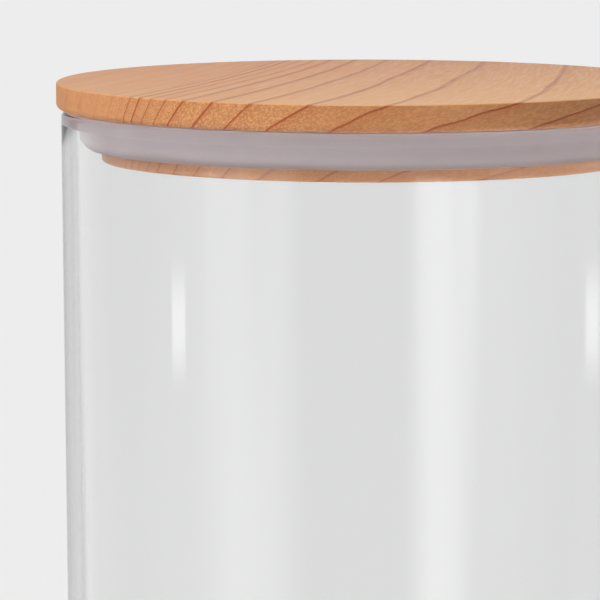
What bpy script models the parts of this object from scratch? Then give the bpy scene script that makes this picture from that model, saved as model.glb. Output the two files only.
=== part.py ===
"""Glass canister: a glass jar that narrows slightly downward, a wooden lid and its silicone sealing ring.

Lengths are in metres and +Z is up. The origin is the centre of the jar's foot, on the surface it stands on.
Every piece is turned about the Z axis. The lid, with its ring, lifts straight up out of the jar and turns
about the same axis.
"""

import math

import bpy

# Jar
GLASS_RADIUS = 0.0500
GLASS_HEIGHT = 0.1550
WALL = 0.00245
WALL_DRAFT = 0.00115
FLOOR = 0.0028
HEEL_RADIUS = 0.0070
FOOT_WIDTH = 0.0030
PUSH_UP = 0.0010

# Lid, one piece of wood: a disc that rests over the jar's rim, and a plug with a groove for the ring
DISC_OVERHANG = 0.0008
DISC_THICKNESS = 0.0043
DISC_ARRIS = 0.0003
DISC_UNDER_ROUND = 0.0010
PLUG_DEPTH = 0.0082
PLUG_CLEARANCE = 0.0041
PLUG_ROUND = 0.0005
PLUG_LAND = 0.00195
GROOVE_DEPTH = 0.0022

# Sealing ring
RING_CURL_HEIGHT = 0.0023
RING_CURL_WIDTH = 0.0026
RING_ROUND = 0.0004

# Fits
RIM_CLEARANCE = 0.0003
RING_CLEARANCE = 0.0003

# Fineness of the turned surfaces
TURN_STEPS = 72
LIP_STEPS = 8
HEEL_STEPS = 5
DOME_STEPS = 5
CURL_STEPS = 6
ROUND_STEPS = 3
AXIS_MERGE = 0.00001

# Worked out from the sizes above
bore_radius = GLASS_RADIUS - WALL
foot_radius = GLASS_RADIUS - WALL_DRAFT
lid_seat = GLASS_HEIGHT + RIM_CLEARANCE
plug_radius = bore_radius - PLUG_CLEARANCE
groove_radius = plug_radius - GROOVE_DEPTH
land_top = PLUG_LAND - PLUG_DEPTH


def arc(centre, radii, start, end, steps):
    """Points (radius, height) along part of an ellipse, between two angles in degrees."""
    points = []
    for step in range(steps + 1):
        angle = math.radians(start + (end - start) * step / steps)
        points.append((centre[0] + radii[0] * math.cos(angle), centre[1] + radii[1] * math.sin(angle)))
    return points


def dome(radius, base, rise, steps):
    """Points from the axis out to a radius, falling from base + rise to base as a shallow bowl's curve does."""
    return [
        (radius * step / steps, base + rise * (1 - (step / steps) ** 2))
        for step in range(steps + 1)
    ]


def jar_outline():
    """From the middle of the floor, up the bore, over the lip, down the outside and under to the axis."""
    lip = WALL / 2
    inner_heel = max(HEEL_RADIUS - WALL, lip)
    foot_outer = foot_radius - HEEL_RADIUS
    floor_edge = foot_radius - WALL - inner_heel
    points = dome(floor_edge, FLOOR, PUSH_UP, DOME_STEPS)
    points += arc((floor_edge, FLOOR + inner_heel), (inner_heel, inner_heel), -90, 0, HEEL_STEPS)[1:]
    points += arc((bore_radius + lip, GLASS_HEIGHT - lip), (lip, lip), 180, 0, LIP_STEPS)
    points += arc((foot_outer, HEEL_RADIUS), (HEEL_RADIUS, HEEL_RADIUS), 0, -90, HEEL_STEPS)
    points += reversed(dome(foot_outer - FOOT_WIDTH, 0, PUSH_UP, DOME_STEPS))
    return points


def lid_outline():
    """From the middle of the disc's top, round its edge, in to the groove, round the plug and back to the axis.

    Heights are from the disc's underside."""
    disc_radius = GLASS_RADIUS + DISC_OVERHANG
    arris_centre = (disc_radius - DISC_ARRIS, DISC_THICKNESS - DISC_ARRIS)
    under_centre = (disc_radius - DISC_UNDER_ROUND, DISC_UNDER_ROUND)
    plug_centre = (plug_radius - PLUG_ROUND, PLUG_ROUND - PLUG_DEPTH)
    points = [(0, DISC_THICKNESS)]
    points += arc(arris_centre, (DISC_ARRIS, DISC_ARRIS), 90, 0, ROUND_STEPS)
    points += arc(under_centre, (DISC_UNDER_ROUND, DISC_UNDER_ROUND), 0, -90, HEEL_STEPS)
    points += [(groove_radius, 0), (groove_radius, land_top), (plug_radius, land_top)]
    points += arc(plug_centre, (PLUG_ROUND, PLUG_ROUND), 0, -90, ROUND_STEPS)
    points.append((0, -PLUG_DEPTH))
    return points


def ring_outline():
    """Once round the ring's section, down its outer side. Heights are from the disc's underside.

    The outer side stands close to the bore and curls in under itself where it enters the jar."""
    inner = groove_radius + RING_CLEARANCE
    outer = bore_radius - RING_CLEARANCE
    top = -RING_CLEARANCE
    bottom = land_top + RING_CLEARANCE
    curl_height = min(RING_CURL_HEIGHT, top - bottom - 2 * RING_ROUND)
    curl_width = min(RING_CURL_WIDTH, outer - inner - 2 * RING_ROUND)
    rounds = (RING_ROUND, RING_ROUND)
    points = arc((outer - RING_ROUND, top - RING_ROUND), rounds, 90, 0, ROUND_STEPS)
    points += arc((outer - curl_width, bottom + curl_height), (curl_width, curl_height), 0, -90, CURL_STEPS)
    points += arc((inner + RING_ROUND, bottom + RING_ROUND), rounds, -90, -180, ROUND_STEPS)
    points += arc((inner + RING_ROUND, top - RING_ROUND), rounds, 180, 90, ROUND_STEPS)
    return points


def material(name, colour, roughness, transmission=0.0, ior=1.5):
    """A Principled material, with its colour in linear values."""
    made = bpy.data.materials.new(name)
    made.use_nodes = True
    shader = made.node_tree.nodes["Principled BSDF"]
    shader.inputs["Base Color"].default_value = (*colour, 1.0)
    shader.inputs["Roughness"].default_value = roughness
    shader.inputs["Metallic"].default_value = 0.0
    shader.inputs["Transmission Weight"].default_value = transmission
    shader.inputs["IOR"].default_value = ior
    made.diffuse_color = (*colour, 1.0 - 0.7 * transmission)
    return made


def turned(name, outline, closed, finish, collection):
    """An object made by turning an outline of (radius, height) points once about Z."""
    mesh = bpy.data.meshes.new(name)
    last = len(outline) - 1
    edges = [(index, index + 1) for index in range(last)]
    if closed:
        edges.append((last, 0))
    mesh.from_pydata([(radius, 0, height) for radius, height in outline], edges, [])
    mesh.materials.append(finish)
    piece = bpy.data.objects.new(name, mesh)
    collection.objects.link(piece)
    screw = piece.modifiers.new("Turning", "SCREW")
    screw.axis = "Z"
    screw.angle = math.tau
    screw.steps = TURN_STEPS
    screw.render_steps = TURN_STEPS
    screw.use_merge_vertices = True
    screw.merge_threshold = AXIS_MERGE
    screw.use_smooth_shade = True
    piece.modifiers.new("Flat faces stay flat", "WEIGHTED_NORMAL")
    return piece


def clear_scene():
    """Removes what the file held."""
    for item in list(bpy.data.objects):
        bpy.data.objects.remove(item)


def build():
    """Makes the three pieces, each carried by the one it sits in."""
    clear_scene()
    canister = bpy.data.collections.new("glass_canister")
    bpy.context.scene.collection.children.link(canister)

    glass = material("clear_glass", (0.93, 0.95, 0.95), 0.02, transmission=1.0, ior=1.5)
    wood = material("oiled_wood", (0.60, 0.30, 0.13), 0.50)
    silicone = material("milky_silicone", (0.52, 0.45, 0.43), 0.45, transmission=0.3, ior=1.41)

    jar = turned("glass_jar", jar_outline(), False, glass, canister)

    ring = turned("silicone_gasket", ring_outline(), True, silicone, canister)
    ring.parent = jar
    ring.location = (0, 0, lid_seat)

    lid = turned("wooden_lid", lid_outline(), False, wood, canister)
    lid.parent = ring


build()
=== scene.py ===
"""Looks of the glass canister: clear glass, oiled wood and milky silicone, in a pale studio.

Lengths are in metres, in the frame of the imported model. Angles are in degrees. Colours are linear.
"""

import math

import bpy
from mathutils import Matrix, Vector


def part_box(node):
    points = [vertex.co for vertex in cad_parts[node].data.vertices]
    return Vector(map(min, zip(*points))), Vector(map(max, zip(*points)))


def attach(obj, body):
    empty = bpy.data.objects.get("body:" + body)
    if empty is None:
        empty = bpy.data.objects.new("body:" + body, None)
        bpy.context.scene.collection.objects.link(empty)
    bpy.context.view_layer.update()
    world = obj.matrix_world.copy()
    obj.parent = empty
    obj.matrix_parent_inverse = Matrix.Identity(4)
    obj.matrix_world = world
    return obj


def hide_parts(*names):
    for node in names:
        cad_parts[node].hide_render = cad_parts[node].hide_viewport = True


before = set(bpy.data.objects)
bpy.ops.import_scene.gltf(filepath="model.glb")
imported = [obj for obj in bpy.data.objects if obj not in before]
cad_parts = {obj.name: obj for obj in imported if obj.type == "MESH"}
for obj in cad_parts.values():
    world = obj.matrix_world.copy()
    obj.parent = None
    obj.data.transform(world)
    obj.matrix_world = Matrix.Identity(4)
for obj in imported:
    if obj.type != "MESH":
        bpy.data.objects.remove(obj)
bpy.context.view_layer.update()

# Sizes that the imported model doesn't name, the same as in its source
GLASS_RADIUS = 0.0500
WALL = 0.00245
WALL_DRAFT = 0.00115
FLOOR = 0.0028
HEEL_RADIUS = 0.0070
FOOT_WIDTH = 0.0030
PUSH_UP = 0.0010
DISC_THICKNESS = 0.0043
DISC_ARRIS = 0.0003
DISC_UNDER_ROUND = 0.0010
PLUG_CLEARANCE = 0.0041
PLUG_ROUND = 0.0005
PLUG_LAND = 0.00195
GROOVE_DEPTH = 0.0022

# Bevel of the groove's inner corners, and round of the land's upper edge
GROOVE_BEVEL = 0.0001
LAND_ROUND = 0.0002

# The ring is pressed against the glass and fills its groove. Its side as (distance in from the bore, depth
# under the disc), below the stretch where it touches the glass
CONTACT = 0.00004
PRESS = 0.00003
LIP_GRIP_ANGLE = 60
RING_ROUND = 0.0004
RING_GRIP_DEPTH = 0.00240
RING_SIDE = [
    (0.00012, 0.00300), (0.00030, 0.00400), (0.00058, 0.00472), (0.00100, 0.00535),
    (0.00150, 0.00582), (0.00195, 0.00608), (0.00250, 0.00620),
]

# Fineness of the turned surfaces. The lid's flat faces have a row of points a few rounds in from their edge,
# so that they shade flat
TURN_STEPS = 288
ROUND_STEPS = 10
LIP_STEPS = 20
LAND_STEPS = 4
RING_STEPS = 6
CURVE_STEPS = 6
DOME_STEPS = 12
LONGEST_STEP = 0.005
FLAT_ROW_ROUNDS = 3
AXIS = 0.0000001

# Glass and silicone
BUMP_DEPTH = 0.0001
GLASS_TINTS = ((0.987, 0.988, 0.988), (0.990, 0.991, 0.991))
GLASS_STREAK_SHARE = 0.04
SILICONE_TONES = ((0.375, 0.326, 0.330), (0.410, 0.358, 0.363))
# Painted shade: the ring is darker and browner towards its foot, where it sits on the wood
SILICONE_FOOT_SHADE = (0.19, 0.115, 0.09)
SILICONE_FOOT_SHADE_SHARE = 0.5
SILICONE_FOOT_SHADE_DEPTHS = (0.0048, 0.0062)

# Growth rings of the wood, in glass radii: the depth of each one's dark line, and how dark it is as a share
GROWTH_SHARES = [
    (-0.70, 0.5), (-0.585, 0.5), (-0.48, 0.6), (-0.37, 0.7), (-0.260, 0.95), (-0.162, 0.95), (-0.035, 0.9),
    (0.078, 1.0), (0.197, 0.9), (0.314, 1.0), (0.432, 1.0), (0.518, 0.7), (0.606, 0.6), (0.688, 1.0),
    (0.765, 0.7), (0.83, 0.2), (0.95, 0.15), (1.12, 0.12), (1.35, 0.15), (1.60, 0.12), (1.90, 0.12),
    (2.20, 0.1),
]
GROWTH_LOW = -0.80

# Grain, in glass radii: how the fibres lean, bend and fan out, and how far the growth rings waver
GRAIN_LEAN = 0.205
GRAIN_BEND = 0.04
GRAIN_FAN = 0.12
WAVE_SIZE = 0.035
RIPPLE_SIZE = 0.012

# A growth ring's surface across the board, in glass radii: an even tilt, and a bow down towards the tree's
# heart at the left that goes on straight beyond an edge
HEART_TILT = 0.30
HEART_DEPTH = -0.1152
HEART_WIDTH = -0.32
HEART_EDGE = -0.60

# The dark line at the end of each growth ring: its sharp and its soft side and the shoulder before it, as
# shares of a ring, and how wide it is on the disc's side and on its top
SHARP_SHARES = (0.010, 0.030)
SOFT_SHARES = (0.010, 0.085)
SHOULDER_SHARES = (0.45, 1.0)
LINE_WIDTH_SIDE = 0.92
LINE_WIDTH_TOP = 2.7

# Heights over the lid's top, in glass radii, between which its top face begins, and those for the plug's
# painted shade
TOP_BAND = (-0.004, -0.001)
PLUG_SHADE_BAND = (-0.10, -0.12)

# Pores and speckle: weaker on the top, and at the left and the right of the board, between distances across
# the grain in glass radii. Noise levels at which a pore, and the wood between pores, begins and is full
GRAINY_TOP_SHARE = 0.25
GRAINY_LEFT = (-0.75, -0.45)
GRAINY_LEFT_SHARE = 0.35
GRAINY_RIGHT = (-0.15, 0.35)
GRAINY_RIGHT_SHARE = 0.45
PORE_ALONG_SHARE = 0.03
PORE_DOWN_SHARE = 0.42
PORES = (0.45, 0.62)
BETWEEN_PORES = (0.50, 0.35)

# Noise levels of the flecks, for the brown ones and for the rosy streaks, and where these are in the board
FLECKS = (0.42, 0.75)
ROSY_FLECKS = (0.35, 0.60)
ROSY_ACROSS = (0.25, -0.55)

# Roughness of the wood, from the noise levels of its pores, and how far these go in
ROUGH_PORES = (0.3, 0.7)
ROUGHNESSES = (0.38, 0.50)
PORE_RELIEF = -0.5

# Wood's tones, and the share of each that is mixed in where it shows
WOOD_TONES = ((0.60, 0.245, 0.092), (0.72, 0.325, 0.130))
WOOD_SHOULDER = (0.50, 0.150, 0.050)
WOOD_SHOULDER_SHARE = 0.45
WOOD_FLECK = (0.50, 0.180, 0.060)
WOOD_FLECK_SHARE = 0.35
WOOD_PORE = (0.38, 0.140, 0.045)
WOOD_PORE_SHARE = 0.42
WOOD_BETWEEN_PORES = (0.86, 0.48, 0.20)
WOOD_BETWEEN_PORES_SHARE = 0.36
# Painted sheen: the lid's top is paler, and more so towards its front
WOOD_TOP_SHEEN = (0.97, 0.54, 0.22)
WOOD_TOP_SHEEN_BACK_SHARE = 0.05
WOOD_TOP_SHEEN_FRONT_SHARE = 0.70
WOOD_ROSY = (0.82, 0.300, 0.105)
WOOD_ROSY_SHARE = 0.5
WOOD_LINE = (0.38, 0.070, 0.018)
WOOD_LINE_SIDE_SHARE = 0.95
WOOD_LINE_TOP_SHARE = 0.58
# Painted shade: the plug, down under the disc, is darker and greyer
WOOD_PLUG_SHADE = (0.40, 0.230, 0.145)
WOOD_PLUG_SHADE_SHARE = 0.42

# Camera, from a fit of the lid's and the glass's outlines in the photograph
CAMERA_DISTANCE = 0.7500
CAMERA_ABOVE_LID = 0.05487
CAMERA_PITCH = 6.9103
CAMERA_YAW = 0.8457
CAMERA_LENS = 276.33
CAMERA_SENSOR = 36.0
CAMERA_CLIP = (0.01, 50.0)

# Sun and floor
SUN_AZIMUTH = -52
SUN_ELEVATION = 43
SUN_STRENGTH = 2.6
SUN_WIDTH = 50
FLOOR_ALBEDO = 0.80
FLOOR_GLOW = 1.04
FLOOR_GLOW_SHARE = 0.5
FLOOR_SIZE = 14.0

# Level of the pale studio, and the azimuths to either side between which it begins, for reflections inside
# the glass
PALE = 0.863
BEHIND = (110, 140)

# Level of the studio's light on what is matte. What is lit through the glass, the ring and the plug, gets
# another level from low down, which fades out between two elevations. It grows from a share of that level at
# the left azimuth to another share at the right one
AMBIENT = 0.25
AMBIENT_IN_GLASS = 7.8
AMBIENT_LEFT_SHARE = 0.75
AMBIENT_RIGHT_SHARE = 1.18
AMBIENT_SIDES = (-60, 60)
AMBIENT_LOW = (6, 10)

# What the outside of the glass mirrors: (azimuth, level) round the studio high up and low down, and the
# elevations of the low and the high line, with an even change between them. Soft boxes stand at the left and
# right of the camera, with darkness between them
MIRROR_TOP = 4.0
MIRROR_ELEVATIONS = (-10.5, -6.5)
MIRROR_HIGH = [
    (-180, 0.86), (-165, 0.50), (-152, 0.35), (-147, 0.05), (-139.5, 0.05), (-137.5, 0.60), (-133, 0.50),
    (-122, 0.55), (-113, 0.46), (-105, 0.84), (-99, 1.04), (-88, 0.78), (-80, 0.75), (-70, 0.82),
    (-65, 0.95), (-63.3, 1.20), (-61.8, 1.80), (-56, 1.84), (-46, 1.82), (-43.5, 1.18), (-38, 1.20),
    (-36, 1.36), (-32, 1.36), (-29, 0.90), (-25, 0.05), (-22, 0.0), (11, 0.0), (14.5, 0.10), (16.2, 0.60),
    (17.4, 1.3), (18.5, 2.3), (20.2, 2.9), (25.5, 3.40), (29.6, 3.42), (31.8, 2.65), (33.5, 2.60), (37, 2.95),
    (39, 2.85), (41, 2.0), (42.5, 1.1), (45, 0.95), (53, 0.95), (59, 0.75), (65, 0.57), (80, 0.56),
    (90, 1.0), (100, 1.04), (113, 0.46), (122, 0.55), (133, 0.50), (138, 0.05), (147, 0.05), (152, 0.35),
    (165, 0.50), (180, 0.86),
]
MIRROR_LOW = [
    (-180, 0.86), (-152, 0.33), (-145, 0.28), (-141, 0.0), (-137, 0.0), (-133, 0.60), (-122, 0.64),
    (-112, 0.76), (-105, 1.05), (-99, 1.18), (-88, 1.10), (-72, 0.92), (-66, 1.10), (-60, 1.50), (-55, 2.15),
    (-52, 2.45), (-44, 2.25), (-38, 2.00), (-35, 1.85), (-30, 1.25), (-25, 0.30), (-20, 0.0), (12, 0.05),
    (15, 0.30), (18, 1.4), (22, 2.9), (25.5, 3.40), (29.6, 3.15), (33.3, 2.90), (36, 2.1), (39, 1.25),
    (41, 0.90), (45, 0.80), (57, 0.80), (62, 0.52), (80, 0.56), (90, 1.0), (99, 1.18), (105, 1.05),
    (112, 0.76), (122, 0.64), (133, 0.60), (137, 0.0), (141, 0.0), (145, 0.28), (152, 0.33), (180, 0.86),
]

# The elevation where the soft boxes end, the one where the right box does, and that box as (from, to, softness
# of its edges). Above these the studio in front is dim, up to azimuths between which that fades out
BOX_END = -5.51
RIGHT_BOX_END = -6.33
RIGHT_BOX = (11, 47, 3)
BOX_END_SOFTNESS = 0.1
DIM = 0.30
DIM_FADE = (115, 85)

# Two short strips, for the glints: azimuths and elevations as (from, to, softness of the edges), and the level
STRIPS = [
    ((-77.8, -71.6, 0.9), (-8.41, -7.38, 0.45), 3.4),
    ((89.2, 96.5, 1.8), (-8.30, -7.22, 0.43), 2.9),
]

# Numbers of the Mix node's sockets: its share, its two numbers and their result, its two colours and theirs
MIX_SHARE = 0
MIX_NUMBERS = (2, 3)
MIX_NUMBER = 0
MIX_COLOURS = (6, 7)
MIX_COLOUR = 2

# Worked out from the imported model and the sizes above
rim_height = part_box("glass_jar")[1][2]
lid_low, lid_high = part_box("wooden_lid")
lid_top = lid_high[2]
underside = lid_top - DISC_THICKNESS
disc_radius = lid_high[0]
plug_bottom = lid_low[2]
bore_radius = GLASS_RADIUS - WALL
plug_radius = bore_radius - PLUG_CLEARANCE
groove_radius = plug_radius - GROOVE_DEPTH
land_top = plug_bottom + PLUG_LAND
lip = WALL / 2
lip_centre = (bore_radius + lip, rim_height - lip)


def arc(centre, radii, start, end, steps=ROUND_STEPS):
    """Points (radius, height) along part of an ellipse, between two angles in degrees."""
    points = []
    for step in range(steps + 1):
        angle = math.radians(start + (end - start) * step / steps)
        points.append((centre[0] + radii[0] * math.cos(angle), centre[1] + radii[1] * math.sin(angle)))
    return points


def dome(radius, base, rise):
    """Points from the axis out to a radius, falling from base + rise to base as a shallow dome does."""
    points = []
    for step in range(DOME_STEPS + 1):
        share = step / DOME_STEPS
        points.append((radius * share, base + rise * (1 - share ** 2)))
    return points


def filled(points):
    """The same line with long stretches cut into shorter ones."""
    out = [points[0]]
    for before, after in zip(points, points[1:]):
        parts = max(1, math.ceil(math.dist(before, after) / LONGEST_STEP))
        for part in range(1, parts + 1):
            share = part / parts
            out.append(tuple(old + (new - old) * share for old, new in zip(before, after)))
    return out


def curved(points):
    """A smooth line through the points (Catmull-Rom)."""
    ends = [points[0]] + points + [points[-1]]
    out = [points[0]]
    for four in zip(ends, ends[1:], ends[2:], ends[3:]):
        for step in range(1, CURVE_STEPS + 1):
            t = step / CURVE_STEPS
            place = []
            for p, q, r, s in zip(*four):
                bend = (2 * p - 5 * q + 4 * r - s) * t ** 2
                turn = (3 * q - p - 3 * r + s) * t ** 3
                place.append((2 * q + (r - p) * t + bend + turn) / 2)
            out.append(tuple(place))
    return out


def turned(name, outline, closed=False):
    """A mesh object made by turning an outline of (radius, height) points once about Z."""
    vertices = []
    rows = []
    for radius, height in outline:
        if radius < AXIS:
            rows.append([len(vertices)] * TURN_STEPS)
            vertices.append((0, 0, height))
            continue
        rows.append(list(range(len(vertices), len(vertices) + TURN_STEPS)))
        for step in range(TURN_STEPS):
            angle = math.tau * step / TURN_STEPS
            vertices.append((radius * math.cos(angle), radius * math.sin(angle), height))
    pairs = list(zip(rows, rows[1:]))
    if closed:
        pairs.append((rows[-1], rows[0]))
    faces = []
    for upper, lower in pairs:
        for step in range(TURN_STEPS):
            following = (step + 1) % TURN_STEPS
            face = [upper[step], lower[step], lower[following], upper[following]]
            faces.append([corner for index, corner in enumerate(face) if corner != face[index - 1]])
    mesh = bpy.data.meshes.new(name)
    mesh.from_pydata(vertices, [], faces)
    mesh.validate()
    mesh.shade_smooth()
    piece = bpy.data.objects.new(name, mesh)
    bpy.context.scene.collection.objects.link(piece)
    return piece


def jar_outline():
    """From the middle of the floor, up the bore, over the lip, down the outside and under to the axis."""
    inner_heel = HEEL_RADIUS - WALL
    foot_radius = GLASS_RADIUS - WALL_DRAFT
    foot_outer = foot_radius - HEEL_RADIUS
    floor_edge = foot_radius - WALL - inner_heel
    points = dome(floor_edge, FLOOR, PUSH_UP)
    points += arc((floor_edge, FLOOR + inner_heel), (inner_heel, inner_heel), -90, 0)[1:]
    points += arc(lip_centre, (lip, lip), 180, 0, LIP_STEPS)
    points += arc((foot_outer, HEEL_RADIUS), (HEEL_RADIUS, HEEL_RADIUS), 0, -90)
    points += reversed(dome(foot_outer - FOOT_WIDTH, 0, PUSH_UP))
    return filled(points)


def lid_outline():
    """From the middle of the top, round the disc's edge, in to the groove, round the plug and to the axis."""
    arris_centre = (disc_radius - DISC_ARRIS, lid_top - DISC_ARRIS)
    under_centre = (disc_radius - DISC_UNDER_ROUND, underside + DISC_UNDER_ROUND)
    land_centre = (plug_radius - LAND_ROUND, land_top - LAND_ROUND)
    plug_centre = (plug_radius - PLUG_ROUND, plug_bottom + PLUG_ROUND)
    points = [(0, lid_top), (disc_radius - FLAT_ROW_ROUNDS * DISC_ARRIS, lid_top)]
    points += arc(arris_centre, (DISC_ARRIS, DISC_ARRIS), 90, 0)
    points += arc(under_centre, (DISC_UNDER_ROUND, DISC_UNDER_ROUND), 0, -90)
    points += [(groove_radius + GROOVE_BEVEL, underside), (groove_radius, underside - GROOVE_BEVEL)]
    points += [(groove_radius, land_top + GROOVE_BEVEL), (groove_radius + GROOVE_BEVEL, land_top)]
    points += arc(land_centre, (LAND_ROUND, LAND_ROUND), 90, 0, LAND_STEPS)
    points += arc(plug_centre, (PLUG_ROUND, PLUG_ROUND), 0, -90)
    points += [(plug_radius - FLAT_ROW_ROUNDS * PLUG_ROUND, plug_bottom), (0, plug_bottom)]
    return filled(points)


def ring_outline():
    """Once round the ring's section. Its side grips the lip and the bore's top, then curls in to its foot."""
    inner = groove_radius + CONTACT
    top = underside - CONTACT
    bottom = land_top + CONTACT
    rounds = (RING_ROUND, RING_ROUND)
    grip = arc(lip_centre, (lip - PRESS, lip - PRESS), LIP_GRIP_ANGLE, 180)
    side = [(bore_radius + PRESS, underside - RING_GRIP_DEPTH)]
    side += [(bore_radius - inward, underside - depth) for inward, depth in RING_SIDE]
    points = [(grip[0][0], top)] + grip
    points += curved(side)
    points += arc((inner + RING_ROUND, bottom + RING_ROUND), rounds, -90, -180, RING_STEPS)
    points += arc((inner + RING_ROUND, top - RING_ROUND), rounds, 180, 90, RING_STEPS)
    return points


class Graph:
    """Short names for the nodes that a material or the world is built of."""

    def __init__(self, tree):
        self.tree = tree
        tree.nodes.clear()

    def node(self, kind, inputs=(), **settings):
        """A node with its settings, and its inputs linked or set."""
        made = self.tree.nodes.new(kind)
        for name, value in settings.items():
            setattr(made, name, value)
        for key, value in dict(inputs).items():
            self.give(made.inputs[key], value)
        return made

    def give(self, socket, value):
        """Links an output to an input, or sets the input's value."""
        if isinstance(value, bpy.types.NodeSocket):
            self.tree.links.new(value, socket)
        elif socket.type == "RGBA":
            socket.default_value = (*value, 1.0)
        else:
            socket.default_value = value

    def math(self, operation, *values):
        """One sum on up to three values."""
        made = self.node("ShaderNodeMath", operation=operation)
        for socket, value in zip(made.inputs, values):
            self.give(socket, value)
        return made.outputs[0]

    def product(self, *values):
        """All the values multiplied."""
        total = values[0]
        for value in values[1:]:
            total = self.math("MULTIPLY", total, value)
        return total

    def counted(self, bounces):
        """1 where a count of bounces isn't 0."""
        return self.math("GREATER_THAN", bounces, 0.5)

    def ramp(self, value, low, high, out_low=0.0, out_high=1.0, smooth=True):
        """The value taken from low..high to out_low..out_high, and held outside."""
        inputs = {"Value": value, "From Min": low, "From Max": high, "To Min": out_low, "To Max": out_high}
        shape = "SMOOTHSTEP" if smooth else "LINEAR"
        return self.node("ShaderNodeMapRange", inputs, interpolation_type=shape).outputs["Result"]

    def noise(self, vector, scale, detail=2.0, roughness=0.5):
        """A soft random pattern of values between 0 and 1."""
        inputs = {"Vector": vector, "Scale": scale, "Detail": detail, "Roughness": roughness}
        return self.node("ShaderNodeTexNoise", inputs).outputs["Fac"]

    def bump(self, height, strength):
        """A normal that follows a fine relief."""
        inputs = {"Height": height, "Strength": strength, "Distance": BUMP_DEPTH}
        return self.node("ShaderNodeBump", inputs).outputs[0]

    def mix(self, kind, share, sockets, values):
        """The first value, with a share of the second mixed in."""
        inputs = {MIX_SHARE: share, sockets[0]: values[0], sockets[1]: values[1]}
        return self.node("ShaderNodeMix", inputs, data_type=kind)

    def blend(self, share, first, second):
        """The first colour, with a share of the second mixed in."""
        return self.mix("RGBA", share, MIX_COLOURS, (first, second)).outputs[MIX_COLOUR]

    def between(self, share, first, second):
        """The first number, with a share of the second mixed in."""
        return self.mix("FLOAT", share, MIX_NUMBERS, (first, second)).outputs[MIX_NUMBER]

    def combine(self, x, y, z):
        """A vector of three values."""
        return self.node("ShaderNodeCombineXYZ", {"X": x, "Y": y, "Z": z}).outputs[0]

    def split(self, vector):
        """The three values of a vector."""
        return self.node("ShaderNodeSeparateXYZ", {"Vector": vector}).outputs

    def place(self):
        """Where a point is on its piece."""
        return self.node("ShaderNodeTexCoord").outputs["Object"]

    def curve(self, value, points):
        """A line through (value, level) points, with levels from 0 to 1, straight between them."""
        low = points[0][0]
        high = points[-1][0]
        made = self.node("ShaderNodeFloatCurve", {"Value": self.ramp(value, low, high, smooth=False)})
        line = made.mapping.curves[0]
        while len(line.points) < len(points):
            line.points.new(0.5, 0.5)
        for point, (where, level) in zip(line.points, points):
            point.location = ((where - low) / (high - low), level)
            point.handle_type = "VECTOR"
        made.mapping.update()
        return made.outputs[0]


def material(name):
    """A new material and its graph."""
    made = bpy.data.materials.new(name)
    made.use_nodes = True
    return made, Graph(made.node_tree)


def principled(g, inputs):
    """Ends a graph in a Principled shader."""
    shader = g.node("ShaderNodeBsdfPrincipled", inputs)
    g.node("ShaderNodeOutputMaterial", {"Surface": shader.outputs[0]})


def glass_material():
    """Clear glass, very slightly grey, with the faint upright streaks of drawn tube."""
    made, g = material("clear glass")
    stretch = {"Vector": g.place(), "Scale": (1.0, 1.0, GLASS_STREAK_SHARE)}
    streaks = g.node("ShaderNodeMapping", stretch).outputs[0]
    principled(g, {
        "Base Color": g.blend(g.noise(streaks, scale=90.0, detail=1.0), *GLASS_TINTS),
        "Roughness": 0.0,
        "IOR": 1.5,
        "Transmission Weight": 1.0,
        "Normal": g.bump(g.noise(streaks, scale=160.0, detail=1.0), strength=0.02),
    })
    return made


def silicone_material():
    """Milky silicone, darker and browner towards its foot: painted shade where it sits on the wood."""
    made, g = material("milky silicone")
    place = g.place()
    height = g.split(place)[2]
    colour = g.blend(g.noise(place, scale=90.0, detail=3.0), *SILICONE_TONES)
    # Painted shade, darker and browner towards the ring's foot
    foot_shade = g.ramp(height, *(underside - depth for depth in SILICONE_FOOT_SHADE_DEPTHS))
    colour = g.blend(g.product(foot_shade, SILICONE_FOOT_SHADE_SHARE), colour, SILICONE_FOOT_SHADE)
    principled(g, {
        "Base Color": colour,
        "Roughness": 0.42,
        "IOR": 1.41,
        "Specular IOR Level": 0.4,
        "Subsurface Weight": 0.35,
        "Subsurface Radius": (0.004, 0.003, 0.0028),
        "Subsurface Scale": 1.0,
        "Normal": g.bump(g.noise(place, scale=2500.0), strength=0.05),
    })
    return made


def grain_directions(g, x, y):
    """(across, along) the grain.

    The fibres lean to the right as they run back, less so further right and further back."""
    leant = g.math("MULTIPLY_ADD", y, -GRAIN_LEAN, x)
    bent = g.math("MULTIPLY_ADD", g.product(y, y), GRAIN_BEND, leant)
    across = g.math("DIVIDE", bent, g.math("MULTIPLY_ADD", y, -GRAIN_FAN, 1.0))
    return across, g.math("MULTIPLY_ADD", x, GRAIN_LEAN, y)


def growth(g, across, along, z):
    """(depth in the tree, steepness of the growth rings across the board)."""
    held = g.math("MAXIMUM", across, HEART_EDGE)
    bowed = g.product(g.math("EXPONENT", g.math("DIVIDE", held, HEART_WIDTH)), HEART_DEPTH)
    slope = math.exp(HEART_EDGE / HEART_WIDTH) * HEART_DEPTH / HEART_WIDTH
    beyond = g.product(g.math("SUBTRACT", across, held), slope)
    rise = g.math("MULTIPLY_ADD", across, HEART_TILT, g.math("ADD", bowed, beyond))
    waves = g.math("SUBTRACT", with_grain(g, across, along, z, stretch=0.35, scale=2.2), 0.5)
    ripples = g.math("SUBTRACT", with_grain(g, across, along, z, stretch=0.10, scale=14.0), 0.5)
    wobble = g.math("MULTIPLY_ADD", waves, WAVE_SIZE, g.product(ripples, RIPPLE_SIZE))
    steepness = g.math("SUBTRACT", HEART_TILT, g.math("DIVIDE", bowed, -HEART_WIDTH))
    return g.math("ADD", g.math("SUBTRACT", z, rise), wobble), steepness


def with_grain(g, across, along, z, stretch, **settings):
    """Noise that changes less along the grain, by the share that stretch gives."""
    return g.noise(g.combine(across, g.product(along, stretch), z), **settings)


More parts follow.
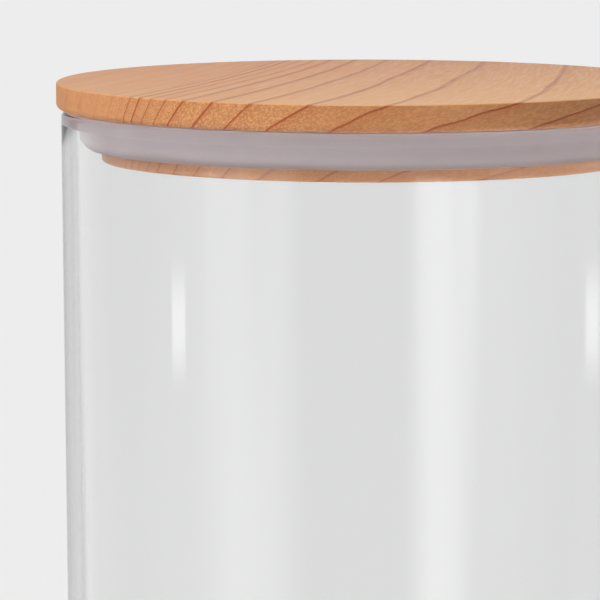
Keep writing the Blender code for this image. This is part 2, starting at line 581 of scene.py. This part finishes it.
def late_wood(g, depth, steepness, on_top):
    """(dark line, shoulder before it) at the end of each growth ring.

    The faces cut the rings at different slants, and the line is made as thin on each."""
    count = len(GROWTH_SHARES)
    depths = [GROWTH_LOW] + [growth_ring[0] for growth_ring in GROWTH_SHARES]
    steps = [(where, index / count) for index, where in enumerate(depths)]
    turn = g.math("FRACT", g.product(g.curve(depth, steps), count))
    dark = g.curve(depth, [(GROWTH_LOW, GROWTH_SHARES[0][1])] + GROWTH_SHARES)
    across_edge = g.math("SQRT", g.math("MULTIPLY_ADD", steepness, steepness, 1.0))
    slant = g.between(on_top, across_edge, steepness)
    width = g.product(slant, g.between(on_top, LINE_WIDTH_SIDE, LINE_WIDTH_TOP))
    before = g.math("DIVIDE", g.math("SUBTRACT", 1.0, turn), width)
    after = g.math("DIVIDE", turn, width)
    sharp = g.ramp(after, *SHARP_SHARES, 1.0, 0.0)
    soft = g.ramp(before, *SOFT_SHARES, 1.0, 0.0)
    line = g.product(g.math("MAXIMUM", sharp, g.product(soft, soft)), dark)
    return line, g.product(g.ramp(turn, *SHOULDER_SHARES), dark)


def wood_material():
    """A board of oiled wood. Its growth rings rise steeply at the left and lie flatter at the right."""
    made, g = material("oiled wood")
    east, north, up = g.split(g.place())
    x = g.math("DIVIDE", east, GLASS_RADIUS)
    y = g.math("DIVIDE", north, GLASS_RADIUS)
    z = g.math("DIVIDE", g.math("SUBTRACT", up, lid_top), GLASS_RADIUS)
    across, along = grain_directions(g, x, y)
    depth, steepness = growth(g, across, along, z)
    on_top = g.ramp(z, *TOP_BAND)
    line, shoulder = late_wood(g, depth, steepness, on_top)

    grainy = g.product(
        g.between(on_top, 1.0, GRAINY_TOP_SHARE),
        g.ramp(across, *GRAINY_LEFT, GRAINY_LEFT_SHARE, 1.0),
        g.ramp(across, *GRAINY_RIGHT, 1.0, GRAINY_RIGHT_SHARE),
    )
    down = g.product(g.math("MULTIPLY_ADD", z, steepness, across), PORE_DOWN_SHARE)
    pores = g.noise(g.combine(depth, g.product(along, PORE_ALONG_SHARE), down), scale=190.0, detail=1.0)
    flecks = with_grain(g, across, along, z, stretch=0.02, scale=42.0, detail=3.0, roughness=0.6)
    clouds = with_grain(g, across, along, z, stretch=0.05, scale=3.0)

    # Painted sheen makes the top paler towards its front, and the top is rosy at its left
    front_sheen = g.ramp(y, 1.0, -1.0, WOOD_TOP_SHEEN_BACK_SHARE, WOOD_TOP_SHEEN_FRONT_SHARE, smooth=False)
    leftward = g.ramp(across, *ROSY_ACROSS, 0.0, WOOD_ROSY_SHARE)
    line_share = g.between(on_top, WOOD_LINE_SIDE_SHARE, WOOD_LINE_TOP_SHARE)
    layers = [
        (g.product(shoulder, WOOD_SHOULDER_SHARE), WOOD_SHOULDER),
        (g.product(g.ramp(flecks, *FLECKS), WOOD_FLECK_SHARE), WOOD_FLECK),
        (g.product(g.ramp(pores, *PORES), grainy, WOOD_PORE_SHARE), WOOD_PORE),
        (g.product(g.ramp(pores, *BETWEEN_PORES), grainy, WOOD_BETWEEN_PORES_SHARE), WOOD_BETWEEN_PORES),
        (g.product(front_sheen, on_top), WOOD_TOP_SHEEN),
        (g.product(leftward, g.ramp(flecks, *ROSY_FLECKS), on_top), WOOD_ROSY),
        (g.product(line, line_share), WOOD_LINE),
        # Painted shade on the plug under the disc
        (g.ramp(z, *PLUG_SHADE_BAND, 0.0, WOOD_PLUG_SHADE_SHARE), WOOD_PLUG_SHADE),
    ]
    colour = g.blend(clouds, *WOOD_TONES)
    for share, tone in layers:
        colour = g.blend(share, colour, tone)
    principled(g, {
        "Base Color": colour,
        "Roughness": g.ramp(pores, *ROUGH_PORES, *ROUGHNESSES),
        "IOR": 1.48,
        "Specular IOR Level": 0.5,
        "Normal": g.bump(g.product(pores, PORE_RELIEF), strength=0.25),
    })
    return made


def finish_piece(piece, finish, node, body):
    """Gives a piece its material, hides the imported node that it stands for, and hangs it on the body that
    carries it.
    """
    piece.data.materials.append(finish)
    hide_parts(node)
    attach(piece, body)


def build_pieces():
    """The three pieces. The glass casts no shadow, and the sun shines through it on plug, ring and floor."""
    glass = turned("clear_glass_jar", jar_outline())
    lid = turned("turned_wooden_lid", lid_outline())
    ring = turned("milky_sealing_ring", ring_outline(), closed=True)
    finish_piece(glass, glass_material(), "glass_jar", "jar")
    finish_piece(lid, wood_material(), "wooden_lid", "lid")
    finish_piece(ring, silicone_material(), "silicone_gasket", "seal")
    glass.visible_shadow = False


def direction(g):
    """(azimuth, elevation) of a world direction in degrees. Azimuth 0 is towards -Y, and 90 towards +X."""
    x, y, z = g.split(g.node("ShaderNodeTexCoord").outputs["Generated"])
    azimuth = g.math("DEGREES", g.math("ARCTAN2", x, g.product(y, -1.0)))
    return azimuth, g.math("DEGREES", g.math("ARCSINE", z))


def band(g, angle, low, high, softness):
    """1 between two angles and 0 outside, with soft edges."""
    rise = g.ramp(angle, low - softness, low + softness)
    return g.product(rise, g.ramp(angle, high - softness, high + softness, 1.0, 0.0))


def mirrored_studio(g, azimuth, elevation, sideways):
    """Level of the studio in the reflection off a surface's outside."""
    high = g.curve(azimuth, [(where, level / MIRROR_TOP) for where, level in MIRROR_HIGH])
    low = g.curve(azimuth, [(where, level / MIRROR_TOP) for where, level in MIRROR_LOW])
    raised = g.ramp(elevation, *MIRROR_ELEVATIONS, smooth=False)
    level = g.product(g.between(raised, low, high), MIRROR_TOP)
    box_end = g.between(band(g, azimuth, *RIGHT_BOX), BOX_END, RIGHT_BOX_END)
    over = g.ramp(g.math("SUBTRACT", elevation, box_end), 0.0, BOX_END_SOFTNESS)
    level = g.between(g.product(over, g.ramp(sideways, *DIM_FADE)), level, DIM)
    for azimuths, elevations, strip_level in STRIPS:
        strip = g.product(band(g, azimuth, *azimuths), band(g, elevation, *elevations), strip_level)
        level = g.math("ADD", level, strip)
    return level


def build_world():
    """The studio, by what looks at it.

    It is pale to the camera and through the glass. A surface that mirrors it from outside sees soft boxes, and
    reflections in the glass see only the wall behind. What is matte gets plain light. The world isn't sampled
    as a lamp, because its level depends on the path of the ray."""
    world = bpy.data.worlds.new("pale studio")
    bpy.context.scene.world = world
    world.use_nodes = True
    world.cycles.sampling_method = "NONE"
    g = Graph(world.node_tree)
    azimuth, elevation = direction(g)
    sideways = g.math("ABSOLUTE", azimuth)
    path = g.node("ShaderNodeLightPath").outputs
    mirrored = g.between(
        g.counted(path["Transmission Depth"]),
        mirrored_studio(g, azimuth, elevation, sideways),
        g.ramp(sideways, *BEHIND, 0.0, PALE),
    )
    low_left = AMBIENT_LEFT_SHARE * AMBIENT_IN_GLASS
    low_right = AMBIENT_RIGHT_SHARE * AMBIENT_IN_GLASS
    low_light = g.ramp(azimuth, *AMBIENT_SIDES, low_left, low_right, smooth=False)
    within = g.between(g.ramp(elevation, *AMBIENT_LOW), low_light, AMBIENT)
    seen = g.between(g.counted(path["Glossy Depth"]), PALE, mirrored)
    light = g.between(path["Is Diffuse Ray"], within, AMBIENT)
    level = g.between(g.counted(path["Diffuse Depth"]), seen, light)
    back = g.node("ShaderNodeBackground", {"Color": (1.0, 1.0, 1.0), "Strength": level})
    g.node("ShaderNodeOutputWorld", {"Surface": back.outputs[0]})


def build_floor():
    """A pale floor that keeps the object's shadow. Mirrored rays pass it, so that they see the studio."""
    half = FLOOR_SIZE / 2
    corners = [(-half, -half, 0), (half, -half, 0), (half, half, 0), (-half, half, 0)]
    mesh = bpy.data.meshes.new("studio_floor")
    mesh.from_pydata(corners, [], [(0, 1, 2, 3)])
    floor = bpy.data.objects.new("studio_floor", mesh)
    bpy.context.scene.collection.objects.link(floor)
    made, g = material("studio floor")
    path = g.node("ShaderNodeLightPath").outputs
    matte = g.node("ShaderNodeBsdfDiffuse", {"Color": [FLOOR_ALBEDO] * 3}).outputs[0]
    glow = g.node("ShaderNodeEmission", {"Color": (1.0, 1.0, 1.0), "Strength": FLOOR_GLOW}).outputs[0]
    clear = g.node("ShaderNodeBsdfTransparent").outputs[0]
    seen = g.math("MAXIMUM", path["Is Camera Ray"], path["Is Transmission Ray"])
    shown = g.node("ShaderNodeMixShader", {0: g.product(seen, FLOOR_GLOW_SHARE), 1: matte, 2: glow}).outputs[0]
    both = g.node("ShaderNodeMixShader", {0: g.counted(path["Glossy Depth"]), 1: shown, 2: clear}).outputs[0]
    g.node("ShaderNodeOutputMaterial", {"Surface": both})
    mesh.materials.append(made)


def build_sun():
    """A broad soft light from the front left.

    It already shines on what is in the glass, since this casts no shadow, and so rays that pass the glass don't
    meet the sun as well."""
    lamp = bpy.data.lights.new("soft key", "SUN")
    lamp.energy = SUN_STRENGTH
    lamp.angle = math.radians(SUN_WIDTH)
    sun = bpy.data.objects.new("soft key", lamp)
    bpy.context.scene.collection.objects.link(sun)
    sun.visible_glossy = False
    sun.visible_transmission = False
    sun.rotation_euler = (math.radians(90 - SUN_ELEVATION), 0, math.radians(SUN_AZIMUTH))


def build_camera():
    """The photograph's view."""
    lens = bpy.data.cameras.new("camera")
    lens.lens = CAMERA_LENS
    lens.sensor_width = CAMERA_SENSOR
    lens.clip_start, lens.clip_end = CAMERA_CLIP
    camera = bpy.data.objects.new("camera", lens)
    bpy.context.scene.collection.objects.link(camera)
    camera.location = (0, -CAMERA_DISTANCE, lid_top + CAMERA_ABOVE_LID)
    camera.rotation_euler = (math.radians(90 - CAMERA_PITCH), 0, math.radians(CAMERA_YAW))
    bpy.context.scene.camera = camera


build_pieces()
build_world()
build_floor()
build_sun()
build_camera()
bpy.context.scene.view_settings.view_transform = "Standard"
